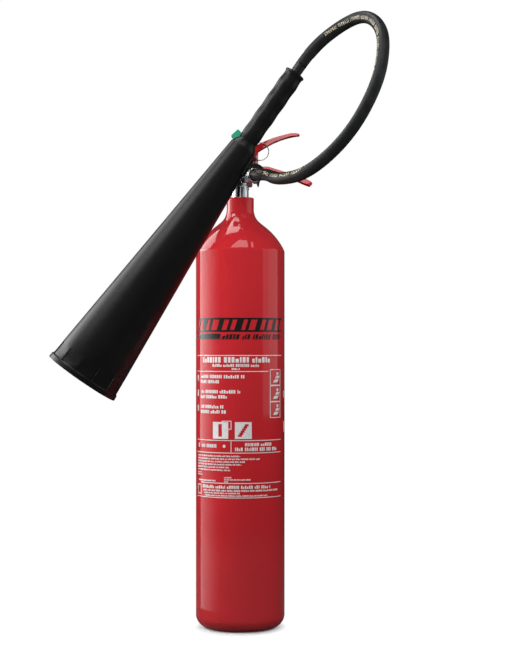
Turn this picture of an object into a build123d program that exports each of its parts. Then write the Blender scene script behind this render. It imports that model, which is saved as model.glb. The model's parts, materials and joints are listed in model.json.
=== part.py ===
from build123d import *
import os
from math import atan2, ceil, cos, degrees, pi, radians, sin, tan

# Portable carbon dioxide fire extinguisher with a squeeze-grip valve, a hose and a discharge horn.
# Millimetres, +Z up. The origin is the centre of the ring that the bottle stands on. The front of the
# object faces -Y, and the carrying handle points along +X. Each sub-part is one STEP file in parts/.

os.makedirs("parts", exist_ok=True)

# ---------------------------------------------------------------- driving dimensions: bottle
BOTTLE_R = 68.0  # outside of the steel bottle
WALL = 4.0
WALL_TOP_Z = 573.8  # where the straight wall ends and the shoulder starts
KNUCKLE_R = 9.0  # tight arc where the wall turns into the shoulder
KNUCKLE_TURN = 26.0  # degrees of that arc
CROWN_R = 100.0  # wide arc of the shoulder
SHOULDER_TURN = 51.0  # degrees turned at the end of both arcs, before the straight cone
NECK_R = 20.8
NECK_FILLET = 26.0  # concave arc between cone and neck
NECK_TOP_Z = 657.5
NECK_BORE_R = 12.9
FOOT_IN_R = 45.0  # the standing ring, inside and outside
FOOT_OUT_R = 49.0
FOOT_CORNER_Z = 22.0  # height where the base corner meets the wall
BASE_DISH = 12.0  # depth of the hollow under the base

# ---------------------------------------------------------------- driving dimensions: valve
SHANK_R = 12.8
SHANK_TOP_Z = 674.5
COLLAR_TOP_Z = 681.0
COLLAR_CORNER_R = 18.7  # hexagon, centre to corner
DRUM_R = 15.0
BLOCK_Z = 698.0  # the drum ends and the square block starts
BLOCK_TOP_Z = 712.0
BLOCK_BACK_X = -28.0
BLOCK_FRONT_X = 13.0
BLOCK_HALF_Y = 11.1
CHAMBER_R = 8.0
CHAMBER_FLOOR_Z = 626.0
SEAT_Z = 670.0
PASSAGE_R = 4.2
SPINDLE_R = 3.0
FREE_GAP = 0.4  # between pieces that touch in use

# ---------------------------------------------------------------- driving dimensions: outlet and hose
OUTLET_Z = 688.0
OUTLET_TURN = 27.0  # degrees from straight ahead towards the handle
BOSS_R = 8.8
BOSS_LENGTH = 24.0
NUT_FLAT_R = 10.0  # hexagon, centre to flat
NUT_START = 18.8
FERRULE_R = 11.0
FERRULE_START = 30.0
FERRULE_END = 50.6
FERRULE_POCKET = 8.6  # how far the hose goes into the ferrule
HOSE_R = 9.0
# The loop leaves the valve forwards, rises in front of the handle and turns over into the horn's grip.
HOSE_ROUTE = [
    (19.1, -37.5, 688.0),
    (38.0, -74.5, 688.0),
    (55.0, -124.0, 672.0),
    (99.0, -178.5, 675.5),
    (156.5, -219.5, 725.0),
    (195.6, -231.0, 797.4),
    (206.0, -203.5, 860.0),
    (199.0, -167.0, 894.0),
    (180.2, -126.0, 912.5),
    (149.6, -89.6, 904.3),
    (109.8, -75.0, 874.8),
    (90.8, -75.0, 847.8),
]

# ---------------------------------------------------------------- driving dimensions: handle and lever
PLATE = 1.6  # thickness of the pressed steel
CHEEK_IN_Y = 11.2  # inner face of the carrying handle's side plates
CHEEK_OUT_Y = CHEEK_IN_Y + PLATE
LEVER_OUT_Y = 10.7
PIVOT_X = -22.0
PIVOT_Z = 719.0
PIVOT_R = 2.5
PRESS_PIN_Z = 723.0
PRESS_PIN_R = 3.0
SAFETY_X = 22.0
SAFETY_Z = 715.3
SAFETY_R = 2.0
LEVER_DROP = 7.7  # how far the lever falls at the safety pin over its whole stroke
RING_R = 13.4  # centre of the wire
RING_WIRE_R = 0.75
RING_Y = -17.0
RING_TILT = 55.4  # degrees, from +X up to the ring's centre, seen from the front

# ---------------------------------------------------------------- driving dimensions: horn
HORN_TILT = 55.0  # degrees, from +X up along the horn, seen from the front
HORN_MOUTH = (-235.0, -75.0, 382.5)
HORN_LENGTH = 430.0
HORN_MOUTH_R = 57.0
HORN_TAPER = 0.0865  # radius lost for each millimetre of length
HORN_WALL = 2.6
HORN_SHOULDER = 12.0  # length of the slanted shoulder at the top of the horn
LIP_LENGTH = 7.0
LIP_FLARE = 1.6
RIBS = 12
RIB_LENGTH = 24.0
RIB_WIDTH = 2.2
RIB_HEIGHT = 1.2
GRIP_R = 14.9
GRIP_WAVE = 0.35
GRIP_WAVES = 4
GRIP_END = 554.0
GRIP_LIP_R = 15.6
GRIP_LIP_LENGTH = 3.0
HORN_FERRULE_R = 8.3
HORN_FERRULE_START = 516.0
HORN_FERRULE_END = 568.0
TUBE_R = 6.0

# ---------------------------------------------------------------- frames of the slanted pieces
# OUTLET and REAR look along the valve's outlet and away from it, with x to the right and y up.
OUTLET_WAY = Vector(sin(radians(OUTLET_TURN)), -cos(radians(OUTLET_TURN)), 0)
OUTLET_SIDE = Vector(cos(radians(OUTLET_TURN)), sin(radians(OUTLET_TURN)), 0)
OUTLET = Plane(origin=(0, 0, OUTLET_Z), x_dir=OUTLET_SIDE, z_dir=OUTLET_WAY)
REAR = Plane(origin=(0, 0, OUTLET_Z), x_dir=OUTLET_SIDE, z_dir=-OUTLET_WAY)
# HORN runs from the centre of the mouth up the horn, with x on its upper left side and y to the front.
HORN_WAY = Vector(cos(radians(HORN_TILT)), 0, sin(radians(HORN_TILT)))
HORN_SIDE = Vector(-sin(radians(HORN_TILT)), 0, cos(radians(HORN_TILT)))
HORN = Plane(origin=HORN_MOUTH, x_dir=HORN_SIDE, z_dir=HORN_WAY)
PARTS = {}


def keep(name, shape, frame=None):
    """Put a shape into its frame and store it as one sub-part."""
    PARTS[name] = frame.location * shape if frame else shape
    return PARTS[name]


def rod(radius, low, high, x=0.0, y=0.0):
    """A cylinder along Z from low to high."""
    return Pos(x, y, (low + high) / 2) * Cylinder(radius, high - low)


def tube(outer, inner, low, high):
    """A hollow cylinder along Z from low to high."""
    return rod(outer, low, high) - rod(inner, low - 1, high + 1)


def hexagon(flat_r, low, high):
    """A hexagonal prism along Z, with its size from centre to flat."""
    return Pos(0, 0, low) * extrude(RegularPolygon(flat_r / cos(pi / 6), 6), high - low)


def wedge(start, end, low, high):
    """A prism along Z over the sector between two angles, which cuts a stretch out of a ring."""
    reach = 60.0
    steps = ceil((end - start) / 30)
    corners = [(0, 0)]
    for i in range(steps + 1):
        angle = radians(start + (end - start) * i / steps)
        corners.append((reach * cos(angle), reach * sin(angle)))
    return Pos(0, 0, low) * extrude(make_face(Polyline(*corners, close=True)), high - low)


def cross_rod(radius, x, z, low, high):
    """A cylinder along Y from low to high."""
    return Pos(x, (low + high) / 2, z) * Rot(90, 0, 0) * Cylinder(radius, high - low)


def block(x0, x1, y0, y1, z0, z1):
    """A box between two corners."""
    return Pos((x0 + x1) / 2, (y0 + y1) / 2, (z0 + z1) / 2) * Box(x1 - x0, y1 - y0, z1 - z0)


def lathe(*edges):
    """Turn a closed outline, drawn as (radius, height), about the Z axis."""
    return revolve(Plane.XZ * make_face(list(edges)), Axis.Z)


def lathe_points(*points):
    """Turn a closed outline of straight lines about the Z axis."""
    return revolve(Plane.XZ * make_face(Polyline(*points, close=True)), Axis.Z)


def sheet_side(outline, half_y):
    """A solid of the side view's outline, drawn as (x, z), as wide as half_y each way."""
    return extrude(Plane.XZ * make_face(outline), half_y, both=True)


# ---------------------------------------------------------------- bottle
def bottle_outline(inset):
    """Outline of the bottle from its axis at the base to its axis at the neck, moved in by the wall."""
    wall_r = BOTTLE_R - inset
    knuckle_r = KNUCKLE_R - inset
    crown_r = CROWN_R - inset
    fillet_r = NECK_FILLET + inset
    fillet_centre_r = NECK_R + NECK_FILLET
    start = radians(KNUCKLE_TURN)
    turn = radians(SHOULDER_TURN)
    knuckle_centre_r = BOTTLE_R - KNUCKLE_R
    crown_centre_r = knuckle_centre_r - (CROWN_R - KNUCKLE_R) * cos(start)
    crown_centre_z = WALL_TOP_Z - (CROWN_R - KNUCKLE_R) * sin(start)
    cone_start = (crown_centre_r + crown_r * cos(turn), crown_centre_z + crown_r * sin(turn))
    outer_start_r = crown_centre_r + CROWN_R * cos(turn)
    outer_start_z = crown_centre_z + CROWN_R * sin(turn)
    rise = (NECK_FILLET - (fillet_centre_r - outer_start_r) * cos(turn)) / sin(turn)
    fillet_z = outer_start_z + rise
    cone_end = (fillet_centre_r - fillet_r * cos(turn), fillet_z - fillet_r * sin(turn))
    top_z = NECK_TOP_Z + inset
    foot_mid = ((FOOT_OUT_R + BOTTLE_R) / 2 + 4.0 - inset * 0.7, FOOT_CORNER_Z * 0.28 + inset * 0.7)
    dish_mid = (FOOT_IN_R * 0.55, BASE_DISH * 0.7 + inset)
    return [
        ThreePointArc((0, BASE_DISH + inset), dish_mid, (FOOT_IN_R - inset * 0.3, inset)),
        Line((FOOT_IN_R - inset * 0.3, inset), (FOOT_OUT_R - inset * 0.3, inset)),
        ThreePointArc((FOOT_OUT_R - inset * 0.3, inset), foot_mid, (wall_r, FOOT_CORNER_Z)),
        Line((wall_r, FOOT_CORNER_Z), (wall_r, WALL_TOP_Z)),
        CenterArc((knuckle_centre_r, WALL_TOP_Z), knuckle_r, 0, KNUCKLE_TURN),
        CenterArc((crown_centre_r, crown_centre_z), crown_r, KNUCKLE_TURN, SHOULDER_TURN - KNUCKLE_TURN),
        Line(cone_start, cone_end),
        CenterArc((fillet_centre_r, fillet_z), fillet_r, 180 + SHOULDER_TURN, -SHOULDER_TURN),
        Line((NECK_R - inset, fillet_z), (NECK_R - inset, top_z)),
        Line((NECK_R - inset, top_z), (0, top_z)),
        Line((0, top_z), (0, BASE_DISH + inset)),
    ]


def make_bottle():
    outside = lathe(*bottle_outline(0.0))
    inside = lathe(*bottle_outline(WALL)) & rod(BOTTLE_R, 0, NECK_TOP_Z - 22)
    shell = outside - inside - rod(NECK_BORE_R, 600, NECK_TOP_Z + 1)
    shell -= rod(NECK_BORE_R + 2.4, NECK_TOP_Z - 2.6, NECK_TOP_Z + 1)
    rim = shell.edges().filter_by(GeomType.CIRCLE).group_by(Axis.Z)[-1].sort_by(lambda e: e.radius)[-1]
    keep("cylinder_shell", chamfer(rim, 0.8))
    keep("neck_oring", Pos(0, 0, NECK_TOP_Z - 1.3) * Torus(NECK_BORE_R + 1.2, 1.1))


# ---------------------------------------------------------------- valve
def make_valve():
    collar_flat = COLLAR_CORNER_R * cos(pi / 6)
    body = rod(SHANK_R, CHAMBER_FLOOR_Z, SHANK_TOP_Z)
    body += rod(SHANK_R + 0.8, SHANK_TOP_Z - 4.0, SHANK_TOP_Z - 2.5)
    body += hexagon(collar_flat, SHANK_TOP_Z, COLLAR_TOP_Z) & lathe_points(
        (0, SHANK_TOP_Z),
        (collar_flat + 1.4, SHANK_TOP_Z),
        (COLLAR_CORNER_R, SHANK_TOP_Z + 1.2),
        (COLLAR_CORNER_R, COLLAR_TOP_Z - 1.2),
        (collar_flat + 1.4, COLLAR_TOP_Z),
        (0, COLLAR_TOP_Z),
    )
    body += rod(DRUM_R, COLLAR_TOP_Z, BLOCK_Z)
    head = block(BLOCK_BACK_X, BLOCK_FRONT_X, -BLOCK_HALF_Y, BLOCK_HALF_Y, BLOCK_Z - 5, BLOCK_TOP_Z)
    body += fillet(head.edges().filter_by(Axis.Z), 3.0)
    body += OUTLET.location * rod(BOSS_R, 0, BOSS_LENGTH)
    body += REAR.location * rod(BOSS_R - 0.8, 0, BOSS_LENGTH)
    body -= rod(CHAMBER_R, CHAMBER_FLOOR_Z - 1, SEAT_Z)
    body -= rod(PASSAGE_R, SEAT_Z - 1, OUTLET_Z + 6)
    body -= rod(SPINDLE_R + 0.3, SEAT_Z, BLOCK_TOP_Z + 1)
    body -= rod(6.0, BLOCK_TOP_Z - 8, BLOCK_TOP_Z + 1)
    body -= OUTLET.location * rod(4.0, 0, BOSS_LENGTH + 1)
    vent = rod(1.2, SEAT_Z - 8, OUTLET_Z + 1.2, x=-10.4 * OUTLET_WAY.X, y=-10.4 * OUTLET_WAY.Y)
    body -= vent
    body -= REAR.location * rod(2.0, 9.5, BOSS_LENGTH + 1)
    body -= Plane(origin=(0, 0, SEAT_Z - 8), z_dir=-OUTLET_WAY).location * rod(1.2, 0, 10.4)
    for x, z in BOLT_PLACES:
        body -= cross_rod(2.55, x, z, -20, 20)
    keep("valve_body", body)

    gland = hexagon(7.0, BLOCK_TOP_Z, BLOCK_TOP_Z + 2.6) + rod(5.9, BLOCK_TOP_Z - 4.5, BLOCK_TOP_Z)
    keep("gland_nut", gland - rod(SPINDLE_R + 0.2, 700, 720))
    keep("spindle_oring", Pos(0, 0, BLOCK_TOP_Z - 6.2) * Torus(4.55, 1.35))

    adapter = rod(CHAMBER_R - 0.05, CHAMBER_FLOOR_Z + 2, CHAMBER_FLOOR_Z + 14)
    adapter += hexagon(9.0, CHAMBER_FLOOR_Z - 5, CHAMBER_FLOOR_Z)
    adapter += rod(CHAMBER_R - 0.05, CHAMBER_FLOOR_Z, CHAMBER_FLOOR_Z + 2)
    adapter -= rod(3.6, CHAMBER_FLOOR_Z - 6, CHAMBER_FLOOR_Z + 15)
    adapter -= rod(TUBE_R + 0.05, CHAMBER_FLOOR_Z - 6, CHAMBER_FLOOR_Z + 8)
    keep("siphon_adapter", adapter)
    dip = tube(TUBE_R, TUBE_R - 1.2, 30, CHAMBER_FLOOR_Z + 8)
    keep("siphon_tube", dip - Pos(0, 0, 30) * Rot(0, 35, 0) * block(-20, 20, -20, 20, -20, 0))


BOLT_PLACES = [(-20.0, 704.0), (8.6, 704.0)]


def make_plunger():
    """Spindle, poppet and seat disc travel together when the lever is squeezed."""
    tip_z = PRESS_PIN_Z - PRESS_PIN_R - FREE_GAP
    stem = rod(SPINDLE_R, SEAT_Z + 0.1, tip_z)
    keep("spindle", fillet(stem.edges().group_by(Axis.Z)[-1], 1.6))
    keep("seat_disc", rod(6.2, SEAT_Z - 2.3, SEAT_Z - 0.3))
    cup = rod(7.2, SEAT_Z - 10, SEAT_Z - 2.3)
    slots = Rot(0, 0, 45) * Box(20, 3, 40) + Rot(0, 0, -45) * Box(20, 3, 40)
    keep("poppet", cup - (Pos(0, 0, SEAT_Z - 8) * slots - rod(5.8, 600, 700)))
    spring_low = CHAMBER_FLOOR_Z + 14
    spring_high = SEAT_Z - 10
    wire = 0.7
    coil = Helix(pitch=3.6, height=spring_high - spring_low - 2 * wire, radius=4.9)
    section = Plane(origin=coil @ 0, z_dir=coil % 0) * Circle(wire)
    keep("poppet_spring", Pos(0, 0, spring_low + wire) * sweep(section, path=coil, is_frenet=True))


def make_outlet():
    nut = hexagon(NUT_FLAT_R, NUT_START, FERRULE_START)
    nut -= rod(BOSS_R + 0.05, 17, BOSS_LENGTH + 2.5)
    nut -= rod(5.3, 17, FERRULE_START + 1)
    keep("hose_nut", nut, OUTLET)
    keep("outlet_washer", tube(8.2, 4.1, BOSS_LENGTH, BOSS_LENGTH + 1), OUTLET)
    pocket_z = FERRULE_END - FERRULE_POCKET
    tail = rod(8.2, BOSS_LENGTH + 1, BOSS_LENGTH + 2.4) + rod(5.2, BOSS_LENGTH + 2.4, pocket_z)
    keep("hose_tail_valve", tail - rod(3.2, 0, 90), OUTLET)
    ferrule = lathe_points(
        (5.25, FERRULE_START),
        (FERRULE_R - 1.4, FERRULE_START),
        (FERRULE_R - 1.4, FERRULE_START + 2.5),
        (FERRULE_R, FERRULE_START + 4),
        (FERRULE_R, FERRULE_END - 0.8),
        (FERRULE_R - 0.6, FERRULE_END),
        (HOSE_R + 0.15, FERRULE_END),
        (HOSE_R + 0.15, pocket_z),
        (5.25, pocket_z),
    )
    keep("hose_ferrule_valve", ferrule, OUTLET)

    end = BOSS_LENGTH
    keep("burst_washer", tube(6.6, 2.2, end, end + 0.8), REAR)
    keep("burst_disc", rod(6.4, end + 0.8, end + 1.2), REAR)
    cap = hexagon(9.4, NUT_START, end + 6)
    cap -= rod(BOSS_R - 0.75, end - 6, end + 1.2)
    cap -= rod(2.0, end, end + 7)
    keep("burst_plug", cap, REAR)


def hose_radii():
    """Each corner's arc is 0.45 of its shorter run, over the tangent of half the turn."""
    points = [Vector(*p) for p in HOSE_ROUTE]
    radii = []
    for before, here, after in zip(points, points[1:], points[2:]):
        run_in = here - before
        run_out = after - here
        half_turn = radians(run_in.get_angle(run_out)) / 2
        radii.append(0.45 * min(run_in.length, run_out.length) / tan(half_turn))
    return radii


def make_hose():
    radii = hose_radii()
    path = FilletPolyline(*HOSE_ROUTE, radius=radii)
    solid = sweep(Plane(origin=path @ 0, z_dir=path % 0) * Circle(HOSE_R), path=path)
    keep("hose", solid)
    print("hose arcs, mm:", [round(r) for r in radii])
    print("hose length, mm:", round(path.length, 1))
    print("hose volume over section times length:", round(solid.volume / (pi * HOSE_R**2 * path.length), 4))


# ---------------------------------------------------------------- carrying handle, lever and pins
def make_handle():
    """A pressed channel: two side plates round the valve, and an arm whose top is closed."""
    cheek_top = PIVOT_Z + 8.5
    upper = [
        (27.6, 709.0),
        (31.0, 705.4),
        (40.0, 704.6),
        (53.0, 701.4),
        (67.0, 697.2),
        (82.0, 692.0),
        (96.0, 687.2),
        (104.6, 684.0),
        (110.4, 679.4),
    ]
    lower = [(106.4, 675.8), (98.4, 678.6), (84.0, 685.0), (68.0, 691.8), (54.0, 697.0), (41.0, 700.2)]
    outline = [
        Line((PIVOT_X, cheek_top), (25.6, cheek_top)),
        Line((25.6, cheek_top), (27.6, cheek_top - 2)),
        Line((27.6, cheek_top - 2), upper[0]),
        Spline(*upper),
        Line(upper[-1], lower[0]),
        Spline(*lower),
        Line(lower[-1], (32.0, 699.2)),
        Line((32.0, 699.2), (BLOCK_BACK_X - 2, 699.2)),
        Line((BLOCK_BACK_X - 2, 699.2), (PIVOT_X - 8.5, PIVOT_Z)),
        ThreePointArc((PIVOT_X - 8.5, PIVOT_Z), (PIVOT_X - 6.0, PIVOT_Z + 6.0), (PIVOT_X, cheek_top)),
    ]
    solid = sheet_side(outline, CHEEK_OUT_Y)
    under = Pos(0, 0, -PLATE) * sheet_side(outline, CHEEK_IN_Y)
    room = block(-60, 30.5, -CHEEK_IN_Y, CHEEK_IN_Y, 690, 740)
    handle = solid - under - room
    outer_edges = handle.edges().filter_by(lambda e: abs(abs(e.center().Y) - CHEEK_OUT_Y) < 0.01)
    handle = fillet([e for e in outer_edges if e.center().X > 34 and e.length > 60], 0.7)
    handle -= cross_rod(PIVOT_R, PIVOT_X, PIVOT_Z, -20, 20)
    handle -= cross_rod(SAFETY_R + 0.3, SAFETY_X, SAFETY_Z, -20, 20)
    for x, z in BOLT_PLACES:
        handle -= cross_rod(2.55, x, z, -20, 20)
    keep("carry_handle", handle)

    bolts = []
    for x, z in BOLT_PLACES:
        shaft = cross_rod(2.5, x, z, -CHEEK_OUT_Y - 1.0, CHEEK_OUT_Y + 1.0)
        head = cross_rod(4.6, x, z, -CHEEK_OUT_Y - 2.6, -CHEEK_OUT_Y)
        tail = cross_rod(4.2, x, z, CHEEK_OUT_Y, CHEEK_OUT_Y + 2.4)
        bolts.append(shaft + head + tail)
    keep("handle_bolts", Compound(children=bolts))
    pin = cross_rod(PIVOT_R, PIVOT_X, PIVOT_Z, -CHEEK_OUT_Y - 0.5, CHEEK_OUT_Y + 0.5)
    pin += cross_rod(4.3, PIVOT_X, PIVOT_Z, -CHEEK_OUT_Y - 1.8, -CHEEK_OUT_Y)
    pin += cross_rod(4.3, PIVOT_X, PIVOT_Z, CHEEK_OUT_Y, CHEEK_OUT_Y + 1.8)
    keep("lever_pivot_pin", pin)


def make_lever():
    """A pressed channel open below, with a slotted lug on each side for the safety pin."""
    nose_r = 6.2
    top = [
        (PIVOT_X, PIVOT_Z + nose_r),
        (-8.0, 726.6),
        (8.0, 730.6),
        (26.4, 738.2),
        (48.6, 748.0),
        (67.0, 753.4),
        (83.0, 756.1),
        (90.2, 755.0),
    ]
    under = [(90.0, 753.2), (81.2, 752.0), (67.3, 748.5), (53.4, 743.2), (39.5, 735.9), (27.2, 728.4)]
    nose_low = (PIVOT_X, PIVOT_Z - nose_r)
    lug = [(27.2, 712.4), (16.8, 712.4), (16.8, 719.8), (13.5, 719.8)]
    outline = [
        ThreePointArc(nose_low, (PIVOT_X - nose_r, PIVOT_Z), top[0]),
        Spline(*top),
        ThreePointArc(top[-1], (91.0, 754.1), under[0]),
        Spline(*under),
        Polyline(under[-1], *lug, nose_low),
    ]
    solid = sheet_side(outline, LEVER_OUT_Y)
    hollow = Pos(0, 0, -PLATE) * sheet_side(outline, LEVER_OUT_Y - PLATE)
    hollow += block(10, 30, -LEVER_OUT_Y + PLATE, LEVER_OUT_Y - PLATE, 705, 728)
    hollow += block(-22, 30, -LEVER_OUT_Y + PLATE, LEVER_OUT_Y - PLATE, 705, 722)
    lever = solid - hollow
    lever -= cross_rod(PIVOT_R + 0.2, PIVOT_X, PIVOT_Z, -20, 20)
    lever -= cross_rod(PRESS_PIN_R, 0, PRESS_PIN_Z, -20, 20)
    slot_r = SAFETY_R + FREE_GAP
    slot_top = SAFETY_Z + LEVER_DROP
    lever -= block(SAFETY_X - slot_r, SAFETY_X + slot_r, -20, 20, SAFETY_Z, slot_top)
    lever -= cross_rod(slot_r, SAFETY_X, SAFETY_Z, -20, 20)
    lever -= cross_rod(slot_r, SAFETY_X, slot_top, -20, 20)
    keep("squeeze_lever", lever)
    keep("press_pin", cross_rod(PRESS_PIN_R, 0, PRESS_PIN_Z, -LEVER_OUT_Y, LEVER_OUT_Y))


def make_safety():
    pin = cross_rod(SAFETY_R, SAFETY_X, SAFETY_Z, RING_Y - 1.6, CHEEK_OUT_Y + 4)
    pin += cross_rod(SAFETY_R + 1.4, SAFETY_X, SAFETY_Z, RING_Y - 2.8, RING_Y - 1.3)
    keep("safety_pin", fillet(pin.edges().group_by(Axis.Y)[-1], 1.2))
    seal_low = RING_Y + 1.3
    seal_high = -CHEEK_OUT_Y - 0.5
    seal = cross_rod(2.8, SAFETY_X, SAFETY_Z, seal_low, seal_high)
    seal += block(SAFETY_X - 6.6, SAFETY_X - 1.0, seal_low, seal_high, SAFETY_Z - 5.6, SAFETY_Z + 3.8)
    keep("tamper_seal", seal - cross_rod(SAFETY_R, SAFETY_X, SAFETY_Z, -30, 30))
    far = RING_R + RING_WIRE_R
    ring_x = SAFETY_X + far * cos(radians(RING_TILT))
    ring_z = SAFETY_Z + far * sin(radians(RING_TILT))
    ring = Pos(ring_x, RING_Y, ring_z) * Rot(90, 0, 0) * Torus(RING_R, RING_WIRE_R)
    eye = cross_rod(SAFETY_R + 1.3, SAFETY_X, SAFETY_Z, RING_Y - RING_WIRE_R, RING_Y + RING_WIRE_R)
    keep("pull_ring", ring + eye - cross_rod(SAFETY_R + 0.25, SAFETY_X, SAFETY_Z, -30, 30))


# ---------------------------------------------------------------- horn and grip
def horn_r(t):
    """Outside radius of the horn at a distance t from its mouth."""
    return HORN_MOUTH_R - HORN_TAPER * t


def make_horn():
    round_t = HORN_LENGTH - HORN_SHOULDER
    top_r = horn_r(round_t)
    grip_r = GRIP_R - 1.0
    outside = lathe(
        Line((0, 0), (HORN_MOUTH_R + LIP_FLARE, 0)),
        Line((HORN_MOUTH_R + LIP_FLARE, 0), (horn_r(LIP_LENGTH) + LIP_FLARE, LIP_LENGTH)),
        Line((horn_r(LIP_LENGTH) + LIP_FLARE, LIP_LENGTH), (horn_r(LIP_LENGTH + 2), LIP_LENGTH + 2)),
        Line((horn_r(LIP_LENGTH + 2), LIP_LENGTH + 2), (top_r, round_t)),
        ThreePointArc(
            (top_r, round_t),
            (top_r - 0.42 * (top_r - grip_r), round_t + 0.55 * HORN_SHOULDER),
            (grip_r, HORN_LENGTH),
        ),
        Line((grip_r, HORN_LENGTH), (0, HORN_LENGTH)),
        Line((0, HORN_LENGTH), (0, 0)),
    )
    ceiling = HORN_LENGTH - 14
    hollow = lathe_points(
        (0, -1),
        (HORN_MOUTH_R - HORN_WALL, -1),
        (horn_r(ceiling) - HORN_WALL, ceiling),
        (0, ceiling),
    )
    ribs = []
    lean = degrees(atan2(HORN_TAPER, 1))
    for i in range(RIBS):
        rib = Box(2 * RIB_HEIGHT, RIB_WIDTH, RIB_LENGTH)
        place = Pos(horn_r(LIP_LENGTH + RIB_LENGTH / 2), 0, LIP_LENGTH + RIB_LENGTH / 2) * Rot(0, -lean, 0)
        ribs.append(Rot(0, 0, 20 + 360 / RIBS * i) * place * fillet(rib.edges().group_by(Axis.Z)[-1], 0.8))
    horn = outside + ribs - hollow - rod(TUBE_R + 0.05, ceiling - 1, HORN_LENGTH + 1)
    keep("horn", horn, HORN)

    wave = (GRIP_END - GRIP_LIP_LENGTH - HORN_LENGTH) / GRIP_WAVES
    points = [(GRIP_R - 1.0, HORN_LENGTH)]
    for i in range(GRIP_WAVES):
        points.append((GRIP_R + GRIP_WAVE, HORN_LENGTH + (i + 0.45) * wave))
        points.append((GRIP_R - GRIP_WAVE, HORN_LENGTH + (i + 0.95) * wave))
    sleeve_end = GRIP_END - GRIP_LIP_LENGTH
    sleeve = lathe(
        Line((0, HORN_LENGTH), points[0]),
        Spline(*points, (GRIP_R, sleeve_end)),
        Line((GRIP_R, sleeve_end), (GRIP_LIP_R, sleeve_end + 0.6)),
        Line((GRIP_LIP_R, sleeve_end + 0.6), (GRIP_LIP_R, GRIP_END - 0.8)),
        Line((GRIP_LIP_R, GRIP_END - 0.8), (GRIP_LIP_R - 0.8, GRIP_END)),
        Line((GRIP_LIP_R - 0.8, GRIP_END), (0, GRIP_END)),
        Line((0, GRIP_END), (0, HORN_LENGTH)),
    )
    sleeve -= rod(TUBE_R + 0.05, HORN_LENGTH - 1, GRIP_END + 1)
    sleeve -= rod(HORN_FERRULE_R + 0.1, HORN_FERRULE_START, GRIP_END + 1)
    keep("grip_sleeve", sleeve, HORN)

    low = ceiling - 26
    keep("discharge_tube", tube(TUBE_R, TUBE_R - 1.6, low + 8, HORN_FERRULE_START), HORN)
    nozzle = rod(9.5, low, low + 12) - rod(TUBE_R + 0.05, low + 8, low + 20) - rod(2.2, low + 2, low + 20)
    for i in range(4):
        nozzle -= Pos(0, 0, low) * Rot(0, 0, 90 * i) * Rot(0, 35, 0) * Cylinder(1.3, 30)
    keep("snow_nozzle", nozzle, HORN)
    keep("horn_washer", tube(13.0, TUBE_R + 0.05, ceiling - 1.2, ceiling), HORN)
    locknut = hexagon(9.0, ceiling - 7.2, ceiling - 1.2) - rod(TUBE_R + 0.05, ceiling - 10, ceiling)
    keep("horn_locknut", locknut, HORN)

    ferrule = rod(HORN_FERRULE_R, HORN_FERRULE_START, HORN_FERRULE_END)
    ferrule = chamfer(ferrule.edges().group_by(Axis.Z)[-1], 0.5)
    keep("hose_ferrule_horn", ferrule - rod(4.6, 500, 600), HORN)
    keep("hose_tail_horn", tube(4.55, 3.2, HORN_FERRULE_START, HORN_FERRULE_END), HORN)

    tab = Box(11.5, 9.0, 15.0)
    tab = fillet(tab.edges().filter_by(Axis.Y), 2.0)
    tab = Pos(17.8, 0, 428.3) * Rot(0, -12, 0) * tab
    keep("lock_tab", tab - outside - sleeve - rod(GRIP_R, HORN_LENGTH, HORN_LENGTH + 40), HORN)


def make_clip():
    """Moulded clip: an open ring on the hose ferrule, a strap over it, and a saddle for the horn."""
    ring_low = FERRULE_START + 4.5
    strap_low = FERRULE_END - 10
    strap_high = FERRULE_END - 3.5
    ring_r = FERRULE_R + 2.4
    clip = tube(ring_r, FERRULE_R + 0.1, ring_low, strap_high) & wedge(-65, 130, ring_low, strap_high)
    strap = tube(17.4, 14.2, strap_low, strap_high) & wedge(0, 125, strap_low, strap_high)
    clip += Pos(2.6, 0.6, 0) * strap
    clip += tube(15.6, ring_r - 0.4, strap_low, strap_high) & wedge(45, 130, strap_low, strap_high)
    fang = make_face(Polyline((5.2, -9.9), (11.0, -7.2), (8.8, -17.2), close=True))
    clip += Pos(0, 0, strap_low + 1.6) * extrude(fang, 3.0)
    clip = OUTLET.location * clip

    saddle_low = 384.0
    saddle_high = 412.0
    saddle_gap = 0.7
    saddle_wall = 2.6
    inner_low = horn_r(saddle_low) + saddle_gap
    inner_high = horn_r(saddle_high) + saddle_gap
    shell = lathe_points(
        (inner_low, saddle_low),
        (inner_low + saddle_wall, saddle_low),
        (inner_high + saddle_wall, saddle_high),
        (inner_high, saddle_high),
    )
    clip += HORN.location * (shell & wedge(150, 262, saddle_low, saddle_high))

    # The arm joins the strap's upper end to the back of the saddle.
    start = (OUTLET.location * Pos(-5.2, 14.6, (strap_low + strap_high) / 2)).position
    touch_t = (saddle_low + saddle_high) / 2
    touch_r = horn_r(touch_t) + saddle_gap + saddle_wall / 2
    touch_angle = radians(230)
    end = (HORN.location * Pos(touch_r * cos(touch_angle), touch_r * sin(touch_angle), touch_t)).position
    section = Plane(origin=start, x_dir=(0, 0, 1), z_dir=end - start) * Rectangle(5.6, 5.0)
    keep("horn_clip", clip + sweep(section, path=Line(start, end)))


make_bottle()
make_valve()
make_plunger()
make_outlet()
make_hose()
make_handle()
make_lever()
make_safety()
make_horn()
make_clip()
for part_name, part_shape in PARTS.items():
    export_step(part_shape, f"parts/{part_name}.step")
print(len(PARTS), "sub-parts written")
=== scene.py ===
import json
import math
import random

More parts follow.
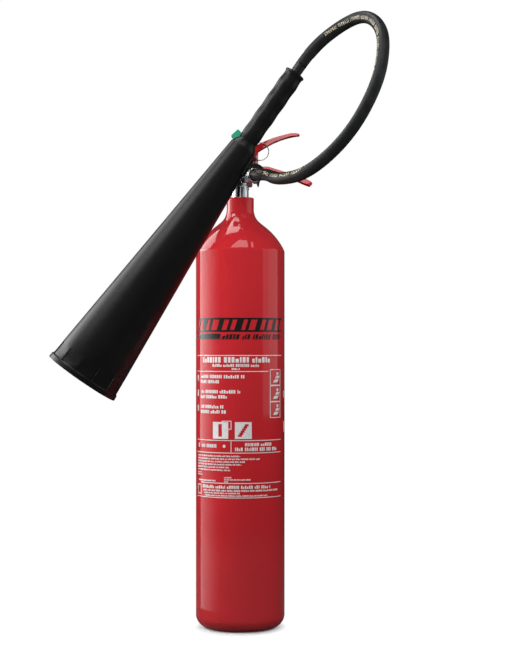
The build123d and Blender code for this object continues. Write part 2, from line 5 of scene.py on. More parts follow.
import bpy
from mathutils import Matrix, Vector

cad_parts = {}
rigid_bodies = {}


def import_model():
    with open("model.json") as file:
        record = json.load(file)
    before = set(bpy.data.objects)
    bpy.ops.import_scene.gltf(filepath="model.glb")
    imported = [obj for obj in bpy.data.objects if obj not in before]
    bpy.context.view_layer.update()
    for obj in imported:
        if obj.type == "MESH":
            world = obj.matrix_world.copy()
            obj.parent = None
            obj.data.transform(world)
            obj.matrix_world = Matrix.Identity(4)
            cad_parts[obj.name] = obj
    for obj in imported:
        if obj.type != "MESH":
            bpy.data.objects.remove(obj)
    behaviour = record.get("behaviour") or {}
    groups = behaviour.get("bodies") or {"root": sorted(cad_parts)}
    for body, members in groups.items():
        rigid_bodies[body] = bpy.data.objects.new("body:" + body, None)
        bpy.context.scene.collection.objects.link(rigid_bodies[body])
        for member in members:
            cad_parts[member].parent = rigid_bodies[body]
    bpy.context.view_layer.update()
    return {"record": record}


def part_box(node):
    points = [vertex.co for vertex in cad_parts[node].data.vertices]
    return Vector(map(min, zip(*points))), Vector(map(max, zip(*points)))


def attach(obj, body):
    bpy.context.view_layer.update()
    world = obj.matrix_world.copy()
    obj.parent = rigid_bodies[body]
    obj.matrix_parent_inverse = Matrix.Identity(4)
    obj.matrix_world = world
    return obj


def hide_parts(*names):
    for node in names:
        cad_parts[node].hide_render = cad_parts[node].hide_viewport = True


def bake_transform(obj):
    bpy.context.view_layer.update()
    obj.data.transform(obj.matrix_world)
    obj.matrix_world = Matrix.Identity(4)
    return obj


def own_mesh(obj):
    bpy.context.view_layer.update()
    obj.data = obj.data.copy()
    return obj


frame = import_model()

# ---------------------------------------------------------------- sizes, in metres
BOTTLE_LOW, BOTTLE_HIGH = (Vector(corner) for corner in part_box("cylinder_shell"))
BOTTLE_R = (BOTTLE_HIGH.x - BOTTLE_LOW.x) / 2
HOSE_D = 0.018
# Control points of the hose, from the ferrule at the valve to the one inside the grip.
HOSE_ROUTE = [
    (0.0191, -0.0375, 0.6880),
    (0.0380, -0.0745, 0.6880),
    (0.0550, -0.1240, 0.6720),
    (0.0990, -0.1785, 0.6755),
    (0.1565, -0.2195, 0.7250),
    (0.1956, -0.2310, 0.7974),
    (0.2060, -0.2035, 0.8600),
    (0.1990, -0.1670, 0.8940),
    (0.1802, -0.1260, 0.9125),
    (0.1496, -0.0896, 0.9043),
    (0.1098, -0.0750, 0.8748),
    (0.0908, -0.0750, 0.8478),
]
ROUTE_STEPS = 16  # points of the smooth line for each control point
HOSE_SIDES = 40
HOSE_TWIST_SIDE = Vector((0.89, 0.45, 0))  # the side of the hose that its angles are counted from
FERRULE_SIDES = 64

# ---------------------------------------------------------------- print on the hose
PRINT_AT = 0.5  # place round the hose, as a share of a turn
PRINT_HALF = 0.045  # half its height, as a share of a turn
PRINT_STROKES = 165.0  # along the whole hose
PRINT_GROUPS = 23.0
PRINT_GAP = (0.285, 0.49)  # the worn-off stretch, as shares of the hose's length
PRINT_END = 0.915
# Where the print lies: share of the length, and degrees in frames carried without twist.
PRINT_TURNS = [
    (0.0, 165),
    (0.05, 153),
    (0.23, 154),
    (0.28, 116),
    (0.34, 80),
    (0.46, 88),
    (0.50, 124),
    (0.57, 137),
    (0.67, 150),
    (0.72, 146),
    (0.78, 128),
    (0.83, 120),
    (0.87, 128),
    (0.91, 133),
    (1.0, 133),
]
TAPE_TURNS = 78.0  # of the cloth tape that wraps the hose

# ---------------------------------------------------------------- label, in millimetres
LABEL_LEFT, LABEL_RIGHT = -84, 76
RULE = 1.1  # thickness of a printed line

# ---------------------------------------------------------------- studio
# Softboxes that show in the gloss: place, target, width, height and radiance.
SOFTBOXES = {
    "soft_front": ((0.0, -0.62, 1.62), (0, -0.03, 0.58), 1.15, 0.42, 3.7),
    "soft_top": ((-0.3, 0.1, 1.85), (0, 0, 0.6), 1.0, 0.5, 5.0),
    "rim_left": ((-1.28, 0.58, 1.3), (-0.1, -0.075, 0.55), 1.1, 1.2, 4.0),
    "rim_high": ((-1.1, -0.55, 1.75), (0.03, -0.075, 0.85), 0.9, 0.5, 7.6),
}
STRIP_AWAY = 1.4
# Radiance of the left strips, from the front round to the back.
LEFT_STRIPS = (0.3, 1.0, 1.9, 2.6, 3.1, 3.4)
# Rows of left strips: share of that radiance, first and last bearing, lowest and highest point, distance.
LEFT_ROWS = {
    "high": (1.0, -56, -125, 0.34, 1.15, STRIP_AWAY),
    "mid": (0.75, -56, -125, 0.2, 0.34, STRIP_AWAY),
    "low": (0.45, -48, -110, 0, 0.27, 0.25),
}
RIGHT_STRIPS = (0.6, 0.9, 0.9)
LEVER_STRIPS = (4.2, 4.6, 4.2)
# Strips that only bright metal mirrors: bearing and radiance.
VALVE_STRIPS = {-38: 0.4, -8: 0.6, 22: 0.6, 42: 0.35}
VALVE_STRIP_SPAN = 14
# Fills that light the colours and don't show in the gloss: bearing, height and radiance.
FILLS = {"left": (-80, 0.7, 6.0), "front": (0, 1.1, 3.0), "right": (50, 0.95, 2.9)}
FILL_AWAY = 1.05
FILL_SIZE = 0.8
ROOM_GLOW = 0.06  # how bright the room is to everything but the camera
FLOOR_GLOW = 1.03  # brightness of the floor where it fades into the room
CAMERA_PLACE = (0.0295, -2.464, 0.4244)
CAMERA_LENS = 88.08
CAMERA_SENSOR = 36
CAMERA_SHIFT = 0.0335366


# ---------------------------------------------------------------- material kit
class Mat:
    """A principled material and short calls that add nodes to it."""

    def __init__(self, name, **inputs):
        self.mat = bpy.data.materials.new(name)
        self.mat.use_nodes = True
        self.nodes = self.mat.node_tree.nodes
        self.links = self.mat.node_tree.links
        self.shader = self.nodes["Principled BSDF"]
        self.set(self.shader, **inputs)

    def set(self, node, **inputs):
        for key, value in inputs.items():
            node.inputs[key.replace("_", " ")].default_value = value

    def node(self, kind, **settings):
        made = self.nodes.new(kind)
        for key, value in settings.items():
            setattr(made, key, value)
        return made

    def link(self, out, into):
        self.links.new(out, into)

    def coords(self, kind="Object", scale=(1, 1, 1)):
        """Texture coordinates, stretched by a mapping."""
        source = self.node("ShaderNodeTexCoord").outputs[kind]
        mapping = self.node("ShaderNodeMapping")
        mapping.inputs["Scale"].default_value = scale
        self.link(source, mapping.inputs["Vector"])
        return mapping.outputs["Vector"]

    def noise(self, vector, scale, detail=3.0, rough=0.5):
        made = self.node("ShaderNodeTexNoise")
        self.set(made, Scale=scale, Detail=detail, Roughness=rough)
        self.link(vector, made.inputs["Vector"])
        return made.outputs["Fac"]

    def ramp(self, fac, low, high, to_low=0.0, to_high=1.0):
        """Map a number from one range to another, clamped."""
        made = self.node("ShaderNodeMapRange")
        self.set(made, From_Min=low, From_Max=high, To_Min=to_low, To_Max=to_high)
        self.link(fac, made.inputs["Value"])
        return made.outputs["Result"]

    def math(self, operation, a, b=0.0):
        made = self.node("ShaderNodeMath", operation=operation)
        for socket, value in zip(made.inputs, (a, b)):
            if isinstance(value, (int, float)):
                socket.default_value = value
            else:
                self.link(value, socket)
        return made.outputs[0]

    def mix(self, fac, a, b):
        """Mix two colours, or a colour and a socket."""
        made = self.node("ShaderNodeMix", data_type="RGBA")
        for socket, value in zip((made.inputs[0], made.inputs[6], made.inputs[7]), (fac, a, b)):
            if isinstance(value, (int, float)):
                socket.default_value = value
            elif isinstance(value, tuple):
                socket.default_value = (*value, 1.0)
            else:
                self.link(value, socket)
        return made.outputs[2]

    def color(self, socket):
        self.link(socket, self.shader.inputs["Base Color"])

    def rough(self, socket):
        self.link(socket, self.shader.inputs["Roughness"])

    def bump(self, height, distance, strength=1.0):
        made = self.node("ShaderNodeBump")
        self.set(made, Strength=strength, Distance=distance)
        self.link(height, made.inputs["Height"])
        previous = self.shader.inputs["Normal"].links
        if previous:
            self.link(previous[0].from_socket, made.inputs["Normal"])
        self.link(made.outputs["Normal"], self.shader.inputs["Normal"])


# ---------------------------------------------------------------- materials
def red_enamel():
    """Sprayed gloss enamel: a faint orange peel under a clear film, slightly cloudy in colour."""
    m = Mat("red_enamel", Coat_Weight=0.85, Coat_Roughness=0.05, Specular_IOR_Level=0.0)
    at = m.coords()
    cloud = m.ramp(m.noise(at, 9.0, 4.0), 0.3, 0.7)
    m.color(m.mix(cloud, (0.57, 0.0235, 0.0305), (0.61, 0.0255, 0.033)))
    m.rough(m.ramp(m.noise(at, 60.0, 4.0), 0.3, 0.7, 0.24, 0.34))
    m.bump(m.noise(at, 260.0, 2.0), 0.00004, 0.2)
    return m.mat


def ink(name, dark, light):
    """Screen-printed ink: even, with pinholes and a slightly ragged tone, under the same gloss."""
    m = Mat(name, Coat_Weight=0.6, Coat_Roughness=0.08, Specular_IOR_Level=0.25)
    at = m.coords()
    m.color(m.mix(m.ramp(m.noise(at, 500.0, 4.0), 0.35, 0.65), dark, light))
    m.rough(m.ramp(m.noise(at, 90.0, 3.0), 0.3, 0.7, 0.3, 0.42))
    m.bump(m.noise(at, 900.0, 2.0), 0.00002, 0.3)
    return m.mat


def chrome():
    m = Mat("chrome", Metallic=1.0)
    at = m.coords()
    smear = m.ramp(m.noise(at, 140.0, 5.0, 0.6), 0.35, 0.75)
    m.color(m.mix(smear, (0.80, 0.81, 0.83), (0.66, 0.67, 0.69)))
    m.rough(m.ramp(smear, 0.0, 1.0, 0.07, 0.20))
    m.bump(m.noise(at, 900.0, 2.0), 0.00003, 0.3)
    return m.mat


def zinc_steel():
    m = Mat("zinc_steel", Metallic=1.0)
    at = m.coords(scale=(1, 6, 1))
    grain = m.noise(at, 700.0, 3.0)
    m.color(m.mix(m.ramp(grain, 0.3, 0.7), (0.50, 0.50, 0.52), (0.62, 0.62, 0.63)))
    m.rough(m.ramp(grain, 0.3, 0.7, 0.14, 0.26))
    m.bump(grain, 0.00002, 0.3)
    return m.mat


def brass():
    m = Mat("brass", Metallic=1.0)
    at = m.coords(scale=(1, 1, 5))
    grain = m.noise(at, 500.0, 3.0)
    m.color(m.mix(m.ramp(grain, 0.3, 0.7), (0.66, 0.46, 0.18), (0.78, 0.58, 0.28)))
    m.rough(m.ramp(grain, 0.3, 0.7, 0.24, 0.42))
    return m.mat


def aluminium_tube():
    m = Mat("aluminium_tube", Metallic=1.0)
    at = m.coords(scale=(8, 8, 1))
    grain = m.noise(at, 300.0, 3.0)
    m.color(m.mix(m.ramp(grain, 0.3, 0.7), (0.66, 0.66, 0.68), (0.76, 0.76, 0.78)))
    m.rough(m.ramp(grain, 0.3, 0.7, 0.3, 0.45))
    return m.mat


def moulded(name, dark, light, rough_low, rough_high, grain=900.0, specular=0.35):
    """Moulded plastic or rubber with a fine spark-eroded grain and faint clouding."""
    m = Mat(name, Specular_IOR_Level=specular)
    at = m.coords()
    cloud = m.ramp(m.noise(at, 18.0, 4.0), 0.3, 0.7)
    fine = m.noise(at, grain, 3.0, 0.6)
    shade = m.math("ADD", m.math("MULTIPLY", cloud, 0.5), m.math("MULTIPLY", fine, 0.5))
    m.color(m.mix(shade, dark, light))
    m.rough(m.ramp(fine, 0.35, 0.65, rough_low, rough_high))
    m.bump(fine, 0.00002, 0.15)
    return m.mat


def hose_rubber():
    """Wrapped cover: the cloth tape leaves shallow slanting bands, and worn dashes of print run along it."""
    m = Mat("hose_rubber", Specular_IOR_Level=0.14)
    uv = m.node("ShaderNodeTexCoord").outputs["UV"]
    parts = m.node("ShaderNodeSeparateXYZ")
    m.link(uv, parts.inputs[0])
    around, along = parts.outputs[0], parts.outputs[1]
    at = m.coords()
    turns = m.math("ADD", m.math("MULTIPLY", along, TAPE_TURNS), around)
    band = m.math("FRACT", turns)
    edge = m.ramp(m.math("ABSOLUTE", m.math("SUBTRACT", band, 0.5)), 0.40, 0.5)
    weave = m.noise(at, 1500.0, 2.0)
    cloud = m.ramp(m.noise(at, 60.0, 4.0), 0.3, 0.7)
    base = m.mix(cloud, (0.009, 0.0095, 0.010), (0.016, 0.0165, 0.0175))
    line = m.math("COMPARE", around, PRINT_AT)
    line.node.inputs[2].default_value = PRINT_HALF
    stroke = m.math("LESS_THAN", m.math("FRACT", m.math("MULTIPLY", along, PRINT_STROKES)), 0.66)
    group = m.math("LESS_THAN", m.math("FRACT", m.math("MULTIPLY", along, PRINT_GROUPS)), 0.84)
    worn = m.math("GREATER_THAN", m.noise(at, 620.0, 3.0), 0.46)
    before_gap = m.math("LESS_THAN", along, PRINT_GAP[0])
    after_gap = m.math("GREATER_THAN", along, PRINT_GAP[1])
    printed = m.math("MULTIPLY", m.math("ADD", before_gap, after_gap), m.math("LESS_THAN", along, PRINT_END))
    ink_mask = m.math("MULTIPLY", m.math("MULTIPLY", line, stroke), m.math("MULTIPLY", group, worn))
    ink_mask = m.math("MULTIPLY", ink_mask, printed)
    ink_tone = m.mix(m.ramp(m.noise(at, 350.0, 2.0), 0.35, 0.65), (0.42, 0.30, 0.13), (0.80, 0.76, 0.66))
    m.color(m.mix(ink_mask, base, ink_tone))
    m.rough(m.ramp(weave, 0.3, 0.7, 0.34, 0.48))
    m.bump(edge, 0.00012, 0.5)
    m.bump(weave, 0.00002, 0.2)
    return m.mat


# Moulded pieces: darkest and lightest colour, smoothest and roughest, then any grain and gloss of their own.
MOULDED = {
    "black_rubber": ((0.007, 0.007, 0.0075), (0.014, 0.014, 0.015), 0.45, 0.6),
    "black_ferrule": ((0.008, 0.008, 0.009), (0.014, 0.014, 0.015), 0.3, 0.42, 400.0),
    "white_seal": ((0.74, 0.74, 0.70), (0.84, 0.84, 0.80), 0.4, 0.55),
    "seal_plastic": ((0.45, 0.54, 0.50), (0.60, 0.68, 0.64), 0.35, 0.5),
    "horn_black": ((0.005, 0.005, 0.005), (0.008, 0.008, 0.008), 0.30, 0.38, 1100.0, 0.16),
    "grip_rubber": ((0.005, 0.005, 0.0055), (0.009, 0.009, 0.0095), 0.28, 0.36, 1500.0, 0.2),
    "clip_black": ((0.006, 0.006, 0.0065), (0.012, 0.012, 0.013), 0.24, 0.36, 600.0),
    "green_plastic": ((0.016, 0.33, 0.20), (0.026, 0.42, 0.26), 0.3, 0.4, 700.0),
}
MATERIALS = {
    "red_enamel": red_enamel(),
    "chrome": chrome(),
    "zinc_steel": zinc_steel(),
    "brass": brass(),
    "aluminium_tube": aluminium_tube(),
    "hose_rubber": hose_rubber(),
    "ink_white": ink("ink_white", (0.74, 0.72, 0.72), (0.88, 0.87, 0.87)),
    "ink_black": ink("ink_black", (0.006, 0.006, 0.007), (0.014, 0.014, 0.015)),
}
MATERIALS.update({name: moulded(name, *look) for name, look in MOULDED.items()})


def dress_nodes():
    """Give every CAD node the procedural material of its slot."""
    for entry in frame["record"]["subparts"]:
        for obj in bpy.data.objects:
            if obj.type == "MESH" and obj.name.split(".")[0] == entry["node"]:
                for slot in obj.material_slots:
                    slot.material = MATERIALS[entry["material_slot"]]


# ---------------------------------------------------------------- mesh kit
def add_mesh(name, verts, faces, material, smooth=True):
    mesh = bpy.data.meshes.new(name)
    mesh.from_pydata([tuple(v) for v in verts], [], faces)
    mesh.materials.append(MATERIALS[material] if isinstance(material, str) else material)
    mesh.polygons.foreach_set("use_smooth", [smooth] * len(mesh.polygons))
    mesh.update()
    obj = bpy.data.objects.new(name, mesh)
    bpy.context.scene.collection.objects.link(obj)
    return obj


def route_points(name, route, resolution):
    """Points along the NURBS spline whose control points are the route."""
    curve = bpy.data.curves.new(name, "CURVE")
    curve.dimensions = "3D"
    curve.resolution_u = resolution
    spline = curve.splines.new("NURBS")
    spline.points.add(len(route) - 1)
    for point, place in zip(spline.points, route):
        point.co = (*place, 1.0)
    spline.order_u = 3
    spline.use_endpoint_u = True
    holder = bpy.data.objects.new(name, curve)
    bpy.context.scene.collection.objects.link(holder)
    line = bpy.data.meshes.new_from_object(holder)
    points = [v.co.copy() for v in line.vertices]
    bpy.data.objects.remove(holder)
    bpy.data.meshes.remove(line)
    return points


def along_frames(points, side):
    """A tangent and two normals at each point, carried along without twist."""
    frames = []
    for i, here in enumerate(points):
        before = points[max(i - 1, 0)]
        after = points[min(i + 1, len(points) - 1)]
        tangent = (after - before).normalized()
        side = (side - tangent * side.dot(tangent)).normalized()
        frames.append((here, tangent, side, tangent.cross(side)))
    return frames


def between(knots, at):
    """Value at a place between knots (place, value), eased from one to the next."""
    for (left, a), (right, b) in zip(knots, knots[1:]):
        if at <= right:
            share = max(0.0, (at - left) / (right - left))
            return a + (b - a) * share * share * (3 - 2 * share)
    return knots[-1][1]


def tube_mesh(name, points, radii, sides, side, turns, material):
    """A closed tube with UVs: U goes round it once, and V runs from 0 to 1 along it. The radius is given
    by knots of metres along it, and the angle of U = 0.5 by knots of V."""
    reach = [0.0]
    for a, b in zip(points, points[1:]):
        reach.append(reach[-1] + (b - a).length)
    verts = []
    for gone, (here, _, right, up) in zip(reach, along_frames(points, side)):
        radius = between(radii, gone)
        twist = math.radians(between(turns, gone / reach[-1]))
        for k in range(sides):
            turn = 2 * math.pi * (k / sides - 0.5) + twist
            verts.append(here + (right * math.cos(turn) + up * math.sin(turn)) * radius)
    faces = []
    for i in range(len(points) - 1):
        for k in range(sides):
            n = (k + 1) % sides
            faces.append((i * sides + k, i * sides + n, (i + 1) * sides + n, (i + 1) * sides + k))
    faces.append(tuple(reversed(range(sides))))
    faces.append(tuple((len(points) - 1) * sides + k for k in range(sides)))
    obj = add_mesh(name, verts, faces, material)
    layer = obj.data.uv_layers.new(name="UVMap")
    for face in obj.data.polygons[:-2]:
        row, k = divmod(face.index, sides)
        for loop, (u, v) in zip(face.loop_indices, ((k, row), (k + 1, row), (k + 1, row + 1), (k, row + 1))):
            layer.data[loop].uv = (u / sides, reach[v] / reach[-1])
    return obj


def lathe_mesh(name, profile, origin, axis, sides, material):
    """A closed turned piece. The profile is (radius, distance along the axis) in millimetres."""
    axis = axis.normalized()
    right = axis.cross(Vector((0, 0, 1))).normalized()
    up = right.cross(axis)
    verts = []
    for radius, far in profile:
        for k in range(sides):
            turn = 2 * math.pi * k / sides
            out = right * math.cos(turn) + up * math.sin(turn)
            verts.append(origin + (axis * far + out * radius) * 0.001)
    faces = []
    rows = len(profile)
    for i in range(rows):
        for k in range(sides):
            n, m = (k + 1) % sides, (i + 1) % rows
            faces.append((i * sides + k, m * sides + k, m * sides + n, i * sides + n))
    return add_mesh(name, verts, faces, material)


# ---------------------------------------------------------------- printed label
class Print:
    """Thin slabs of ink on the bottle's wall. Places are millimetres round the wall and above the floor."""

    FILM = 0.00022
    STEP = 4.0

    def __init__(self, name, material):
        self.name = name
        self.material = material
        self.verts = []
        self.faces = []

    def point(self, around, height, depth):
        angle = around * 0.001 / BOTTLE_R
        radius = BOTTLE_R + depth
        return Vector((radius * math.sin(angle), -radius * math.cos(angle), height * 0.001))

    def slab(self, left, right, low, high, lean=0.0):
        """One patch; lean shifts its top sideways."""
        steps = max(1, math.ceil((right - left) / self.STEP))
        first = len(self.verts)
        for i in range(steps + 1):
            around = left + (right - left) * i / steps
            for depth in (self.FILM, -self.FILM):
                self.verts.append(self.point(around, low, depth))
                self.verts.append(self.point(around + lean, high, depth))
        for i in range(steps):
            a, b = first + 4 * i, first + 4 * i + 4
            self.faces += [(a, b, b + 1, a + 1), (a + 1, b + 1, b + 3, a + 3), (b, a, a + 2, b + 2)]
            self.faces.append((a + 2, a + 3, b + 3, b + 2))
        last = first + 4 * steps
        self.faces += [(first, first + 1, first + 3, first + 2), (last, last + 2, last + 3, last + 1)]

    def frame(self, left, right, low, high, line):
        """Four thin lines round a box."""
        self.slab(left, right, low, low + line)
        self.slab(left, right, high - line, high)
        self.slab(left, left + line, low + line, high - line)
        self.slab(right - line, right, low + line, high - line)

    def window(self, left, right, low, high, slanted, rim=3.0, gap=6.0, rows=6):
        """A solid block with a gap down its middle, which is straight or slanted."""
        self.slab(left, right, low, low + rim)
        self.slab(left, right, high - rim, high)
        tall = (high - low - 2 * rim) / rows
        for i in range(rows):
            foot = low + rim + tall * i
            share = i / (rows - 1) if slanted else 0.5
            start = left + 4.6 + (right - left - 15.2) * share
            self.slab(left, start, foot, foot + tall)
            self.slab(start + gap, right, foot, foot + tall)

    def disc(self, around, height, radius, steps=14):
        """A round dot, made of level strips."""
        for i in range(steps):
            low = -radius + 2 * radius * i / steps
            high = low + 2 * radius / steps
            half = math.sqrt(max(radius**2 - ((low + high) / 2) ** 2, 0.0))
            if half > 0.05:
                self.slab(around - half, around + half, height + low, height + high)

    def words(self, left, right, low, high, rng, lean=0.0):
        """A line of plain strokes in groups, which stands for text and spells nothing."""
        tall = high - low
        at = left
        while at < right:
            group = rng.randint(3, 8)
            for _ in range(group):
                wide = tall * rng.uniform(0.28, 0.62)
                if at + wide > right:
                    break
                cut = tall * rng.choice((0.0, 0.0, 0.0, 0.3))
                self.slab(at, at + wide, low, high - cut, lean)
                at += wide + tall * 0.2
            at += tall * 0.45

    def finish(self):
        obj = add_mesh(self.name, self.verts, self.faces, self.material, smooth=False)
        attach(obj, "extinguisher")
        return obj


def make_label():
    """The maker's block is plain slanted bars, and the instructions are rules, strokes and blank frames."""
    rng = random.Random(7)
    black = Print("label_block", "ink_black")
    low, high, edge = 451.6, 472.6, 2.6
    black.slab(-81.0, 77.0, low, low + edge, 0.7)
    black.slab(-77.5, 80.0, high - edge, high, 0.7)
    at = -81.0
    bars = ((4, 9), (9, 6), (5, 11), (8, 8), (5, 7), (10, 6), (5, 10), (8, 7), (5, 9), (7, 8), (4, 5))
    for wide, gap in bars:
        black.slab(at + 0.7, at + wide + 0.7, low + 2.4, high - 2.4, 5.0)
        at += wide + gap
    black.slab(-82.0, -31.5, 440.8, 449.0, 2.0)
    black.words(-28.0, 74.0, 440.4, 448.0, rng, 2.0)
    black.finish()

    white = Print("label_instructions", "ink_white")
    for height, left, right in (
        (416.2, LABEL_LEFT, 79),
        (392.3, LABEL_LEFT, 46),
        (289.0, LABEL_LEFT, LABEL_RIGHT),
        (270.4, LABEL_LEFT, LABEL_RIGHT),
        (225.0, -70, LABEL_RIGHT),
        (203.4, LABEL_LEFT, LABEL_RIGHT),
    ):
        white.slab(left, right, height - RULE / 2, height + RULE / 2)
    white.words(-65, 50, 405.6, 413.8, rng)
    white.words(-44, 30, 399.2, 403.4, rng)
    white.words(-12, 0, 394.6, 397.4, rng)
    for top, first_end, second_end in ((387.0, 8, -32), (364.4, 3, -19), (341.8, -23, -19)):
        white.slab(-83, -79, top - 9.5, top - 0.5)
        white.words(-71, first_end, top - 5.0, top, rng)
        white.words(-71, second_end, top - 12.6, top - 7.6, rng)
    for low in (322.2, 346.5, 371.0):
        white.frame(49.5, 75.0, low, low + 24.4, 1.0)
        white.slab(56, 66, low + 4.5, low + 9.0, 4.0)
        white.slab(61, 70, low + 10.5, low + 14.5, 3.0)
        white.disc(67, low + 18.0, 2.6)
    white.window(-43.2, -17.4, 291.6, 316.6, slanted=False)
    white.window(-7.2, 18.0, 291.6, 316.6, slanted=True)
    white.frame(-27.5, -12.5, 305.5, 318.5, RULE)
    white.words(-68, -35, 278.0, 283.2, rng)
    white.slab(-79, -76, 277.6, 284.0)
    white.disc(-24.0, 280.4, 2.3)
    white.slab(-13.6, -12.6, 271.4, 288.0)
    white.words(8, 52, 280.6, 285.4, rng)
    white.words(-7, 66, 273.4, 278.6, rng)
    for i, right in enumerate((1, 31, 8, 3, -16, -14)):
        top = 266.6 - 4.2 * i
        white.words(-82, right, top - 2.2, top, rng)
    for i, (left, right) in enumerate(((-82, -70), (-82, -66), (-24, -11), (-24, 17), (-24, -18))):
        top = 241.0 - 3.2 * i
        white.words(left, right, top - 2.0, top, rng)
    white.words(-78, -38, 227.4, 229.4, rng)
    white.frame(-82, -70, 207.0, 222.0, 1.6)
    white.words(-66, 52, 217.0, 221.6, rng)
    white.words(-64, 68, 212.6, 215.2, rng)
    white.words(-62, 0, 209.0, 211.2, rng)
    white.words(-60, 44, 205.2, 207.4, rng)
    for low, high in ((300, 316), (322, 340), (352, 362), (374, 394)):
        white.words(90, 97, low, high, rng)
    white.finish()


# ---------------------------------------------------------------- hose
def make_hose():
    points = route_points("hose_route", HOSE_ROUTE, ROUTE_STEPS)
    length = sum((b - a).length for a, b in zip(points, points[1:]))
    # The ferrule squeezes the start, and a smooth sleeve leaves the end a little thinner.
    full = HOSE_D / 2
    radii = [(0.0, 0.85 * full), (0.0080, 0.85 * full), (0.0135, full), (length - 0.020, full)]
    radii += [(length - 0.019, 0.94 * full), (length, 0.94 * full)]
    hose = tube_mesh("hose_tube", points, radii, HOSE_SIDES, HOSE_TWIST_SIDE, PRINT_TURNS, "hose_rubber")
    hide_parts("hose")
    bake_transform(hose)
    return hose


def make_ferrule():
    """The crimped ferrule at the valve, with press grooves and a rolled rim that grips the hose."""
    start, ahead = Vector(HOSE_ROUTE[0]), Vector(HOSE_ROUTE[1])
    outer, pressed = 11.0, 10.55
    profile = [(5.3, -12.0), (9.3, -12.0), (9.6, -11.7), (9.6, -9.6), (10.4, -8.4), (outer, -7.9)]
    for groove in (-5.6, -2.4, 0.8, 4.0):
        profile += [(outer, groove - 0.9), (pressed, groove - 0.35)]
        profile += [(pressed, groove + 0.35), (outer, groove + 0.9)]
    profile += [(outer, 7.4), (10.8, 8.1), (10.3, 8.5), (9.4, 8.5)]
    profile += [(8.4, 8.1), (7.6, 7.3), (7.5, 0.2), (5.3, 0.2)]
    ferrule = lathe_mesh("hose_ferrule", profile, start, ahead - start, FERRULE_SIDES, "chrome")
    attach(ferrule, "extinguisher")
    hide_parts("hose_ferrule_valve")


def make_spring():
    """The valve's spring gets a mesh of its own."""
    spring = bpy.data.objects["poppet_spring"]
    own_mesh(spring)


# ---------------------------------------------------------------- stage, lights and camera
def area_light(name, place, target, width, height, radiance):
    """A softbox that faces the target, with the same brightness over its whole face."""
    data = bpy.data.lights.new(name, "AREA")
    data.shape = "RECTANGLE"
    data.size = width
    data.size_y = height
    data.energy = radiance * math.pi * width * height
    light = bpy.data.objects.new(name, data)
    light.location = place
    light.rotation_euler = (Vector(target) - Vector(place)).to_track_quat("-Z", "Y").to_euler()
    bpy.context.scene.collection.objects.link(light)
    return light


def side_lights(name, radiances, first, last, low, high, away):
    """Upright strips side by side round the object, from one bearing to another (0 is the front)."""
    step = math.radians(last - first) / len(radiances)
    middle = (low + high) / 2
    strips = []
    for i, radiance in enumerate(radiances):
        bearing = math.radians(first) + step * (i + 0.5)
        place = (away * math.sin(bearing), -away * math.cos(bearing), middle)
        width = 2 * away * math.tan(abs(step) / 2)
        strips.append(area_light(f"{name}_{i}", place, (0, 0, middle), width, high - low, radiance))
    return strips


def piece_group(name, nodes, state):
    """The named pieces as a collection, which lights are linked to (INCLUDE) or kept off (EXCLUDE)."""
    group = bpy.data.collections.new(name)
    for obj in bpy.data.objects:
        if obj.type == "MESH" and obj.name.split(".")[0] in nodes:
            group.objects.link(obj)
    for member in group.collection_objects:
        member.light_linking.link_state = state
    return group


def camera_mix(tree, other, seen, amount=None):
    """Show one shader to the camera, all of it or by amount, and the other to reflections and the like."""
    path = tree.nodes.new("ShaderNodeLightPath")
    mix = tree.nodes.new("ShaderNodeMixShader")
    tree.links.new(path.outputs["Is Camera Ray"], mix.inputs[0])
    if amount is not None:
        both = tree.nodes.new("ShaderNodeMath")
        both.operation = "MULTIPLY"
        tree.links.new(path.outputs["Is Camera Ray"], both.inputs[0])
        tree.links.new(amount, both.inputs[1])
        tree.links.new(both.outputs[0], mix.inputs[0])
    tree.links.new(other, mix.inputs[1])
    tree.links.new(seen, mix.inputs[2])
    return mix.outputs[0]


def floor_white():
    """A pale floor that fades into the white of the room away from the object, and reflects little. Round
    the base the glow is taken out, so a band of painted shade shows there: the lit floor gives its darkness,
    but its width, narrower at the sides, is set by position.
    """
    m = Mat("floor_white", Roughness=0.7, Specular_IOR_Level=0.0)
    at = m.coords(scale=(1.25, 1, 1))
    pale = m.mix(m.ramp(m.noise(at, 3.0), 0.3, 0.7), (0.79, 0.79, 0.79), (0.81, 0.81, 0.81))
    m.color(m.mix(m.node("ShaderNodeLightPath").outputs["Is Camera Ray"], (0.22, 0.22, 0.22), pale))
    glow = m.node("ShaderNodeEmission")
    glow.inputs["Strength"].default_value = FLOOR_GLOW
    length = m.node("ShaderNodeVectorMath", operation="LENGTH")
    m.link(at, length.inputs[0])
    # Painted shadow: the glow fades out in a band round the base, narrower at the sides, so the lit floor's
    # contact shadow shows only there.
    painted_shadow_fade = m.ramp(length.outputs["Value"], 0.064, 0.090, 0.05, 1.0)
    seen = camera_mix(m.mat.node_tree, m.shader.outputs[0], glow.outputs[0], painted_shadow_fade)
    m.link(seen, m.nodes["Material Output"].inputs["Surface"])
    return m.mat


def make_stage():
    corners = [(-8, -6, 0), (8, -6, 0), (8, 10, 0), (-8, 10, 0)]
    floor = add_mesh("floor", corners, [(0, 1, 2, 3)], floor_white())
    world = bpy.data.worlds.new("studio")
    bpy.context.scene.world = world
    world.use_nodes = True
    tree = world.node_tree
    seen = tree.nodes["Background"]
    seen.inputs["Color"].default_value = (1, 1, 1, 1)
    seen.inputs["Strength"].default_value = 1.0
    around = tree.nodes.new("ShaderNodeBackground")
    around.inputs["Color"].default_value = (1, 1, 1, 1)
    around.inputs["Strength"].default_value = ROOM_GLOW
    both = camera_mix(tree, around.outputs[0], seen.outputs[0])
    tree.links.new(both, tree.nodes["World Output"].inputs["Surface"])


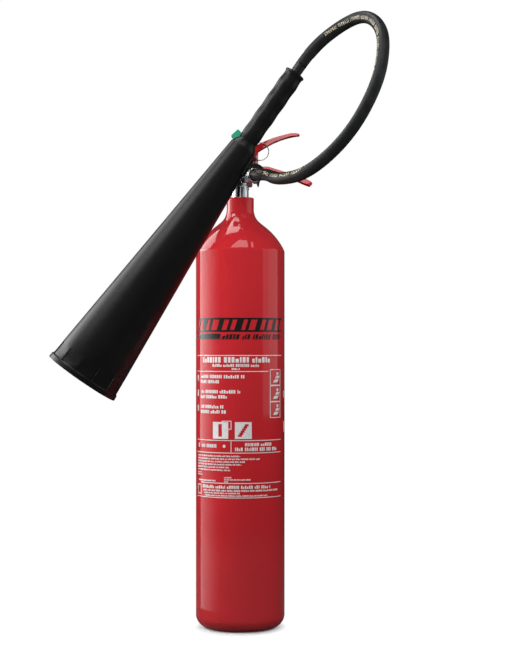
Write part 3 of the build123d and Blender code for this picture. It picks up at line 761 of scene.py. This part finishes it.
def make_lights():
    """Softboxes and strips that show in the gloss, and fills that only light the colours."""
    shine = [area_light(name, *box) for name, box in SOFTBOXES.items()]
    strips = []
    for row, (share, first, last, low, high, away) in LEFT_ROWS.items():
        radiances = [share * radiance for radiance in LEFT_STRIPS]
        strips += side_lights("soft_left_" + row, radiances, first, last, low, high, away)
    strips += side_lights("soft_right", RIGHT_STRIPS, 60, 111, 0.27, 1.3, STRIP_AWAY)
    fills = []
    for name, (bearing, height, radiance) in FILLS.items():
        turn = math.radians(bearing)
        place = (FILL_AWAY * math.sin(turn), -FILL_AWAY * math.cos(turn), height)
        fills.append(area_light("fill_" + name, place, (0, 0, 0.42), FILL_SIZE, FILL_SIZE, radiance))
    on_metal = []
    for bearing, radiance in VALVE_STRIPS.items():
        end = bearing + VALVE_STRIP_SPAN
        on_metal += side_lights(f"valve_{bearing}", [radiance], bearing, end, 0.35, 1.1, STRIP_AWAY)
    on_lever = side_lights("lever_front", LEVER_STRIPS, -30, 30, 0.3, 1.3, STRIP_AWAY)

    record = frame["record"]
    # The horn casts no shadow from the left, so that the wall behind it keeps its gloss.
    horn_set = piece_group("passed_horn_set", record["behaviour"]["bodies"]["horn_set"], "EXCLUDE")
    for light in strips + fills[:1]:
        light.light_linking.blocker_collection = horn_set
    metal = [e["node"] for e in record["subparts"] if e["material_slot"] == "chrome"] + ["hose_ferrule"]
    for lights, name, nodes, state in (
        (on_metal, "lit_metal", metal, "INCLUDE"),
        (on_lever, "lit_lever", ["squeeze_lever", "carry_handle"], "INCLUDE"),
        (strips, "unlit_ferrule", ["hose_ferrule", "hose_nut"], "EXCLUDE"),
    ):
        group = piece_group(name, nodes, state)
        for light in lights:
            light.light_linking.receiver_collection = group
    for light in shine + strips + on_metal + on_lever:
        light.visible_diffuse = False
    for light in fills:
        light.visible_glossy = False
    for light in shine + strips + fills + on_metal + on_lever:
        light.visible_camera = False


def make_camera():
    data = bpy.data.cameras.new("camera")
    data.lens = CAMERA_LENS
    data.sensor_width = CAMERA_SENSOR
    data.shift_y = CAMERA_SHIFT
    camera = bpy.data.objects.new("camera", data)
    camera.location = CAMERA_PLACE
    camera.rotation_euler = (math.pi / 2, 0, 0)
    bpy.context.scene.collection.objects.link(camera)
    bpy.context.scene.camera = camera


dress_nodes()
make_label()
make_hose()
make_ferrule()
make_spring()
make_stage()
make_lights()
make_camera()
bpy.context.scene.view_settings.view_transform = "Standard"
